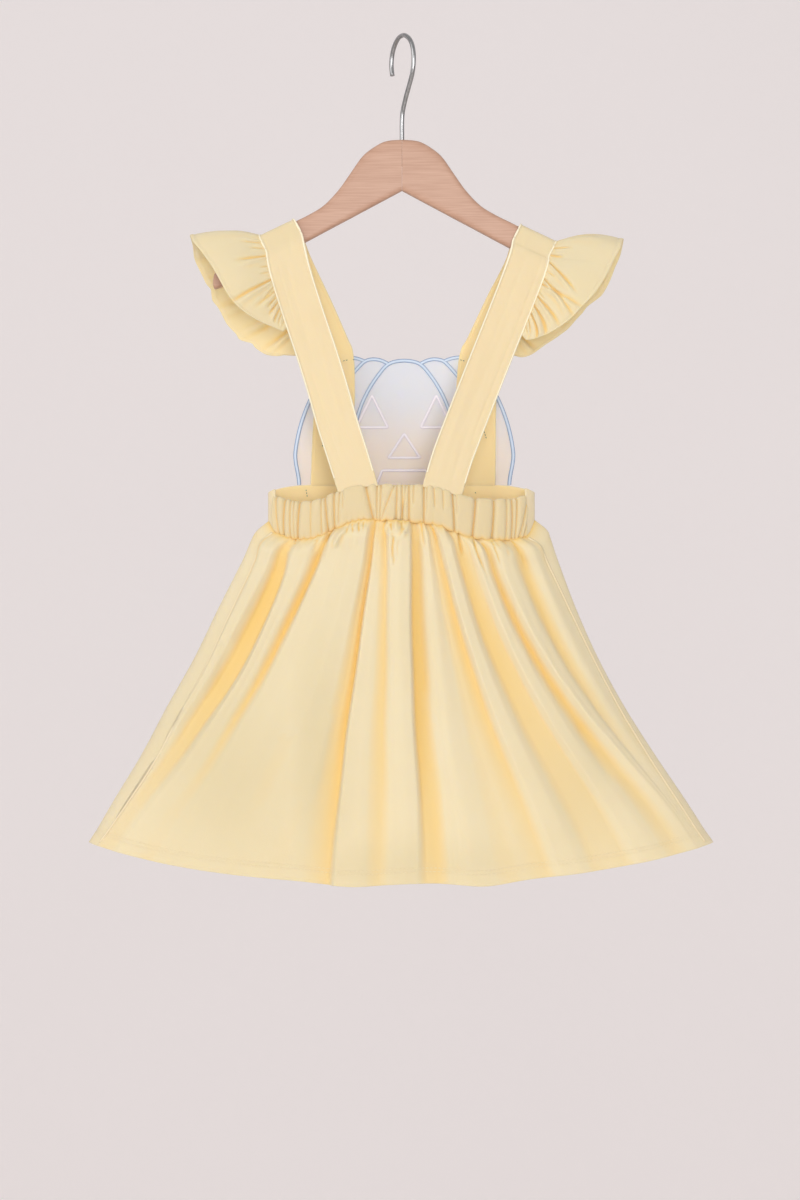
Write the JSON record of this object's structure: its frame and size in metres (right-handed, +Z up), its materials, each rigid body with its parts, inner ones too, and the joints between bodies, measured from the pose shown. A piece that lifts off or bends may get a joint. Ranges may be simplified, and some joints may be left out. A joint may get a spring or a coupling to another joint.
{
  "type": "ruffle dress on a clothes hanger",
  "caption": "Child's pinafore ruffle dress with a lobed pumpkin bib, straps with flutter ruffles, elastic back waistband and flared skirt, hanging open on a flat wooden clothes hanger.",
  "frame": {"origin": "inner top of the hook, where a hanging rail bears on it", "axes": "+Z up; -Y the side seen in the picture, which is the back of the dress with the elastic waistband; +Y the front with the bib; +X to the right in the picture"},
  "size_m": [0.541, 0.1188, 0.7367],
  "materials": {
    "hanger_wood": "satin",
    "hook_steel": "satin",
    "yellow_cotton": "matte",
    "bib_cotton": "matte",
    "cream_piping": "matte",
    "blue_satin_thread": "satin",
    "pale_satin_thread": "satin",
    "yellow_thread": "matte",
    "green_thread": "matte"
  },
  "bodies": {
    "root": {"hanger_arm_left": "hanger_wood", "hanger_arm_right": "hanger_wood", "hanger_hook": "hook_steel", "waistband_back": "yellow_cotton", "waistband_front": "yellow_cotton", "skirt_back": "yellow_cotton", "skirt_front": "yellow_cotton", "strap_left": "yellow_cotton", "strap_right": "yellow_cotton", "ruffle_left": "yellow_cotton", "ruffle_right": "yellow_cotton", "bib": "bib_cotton"}
  },
  "joints": []
}
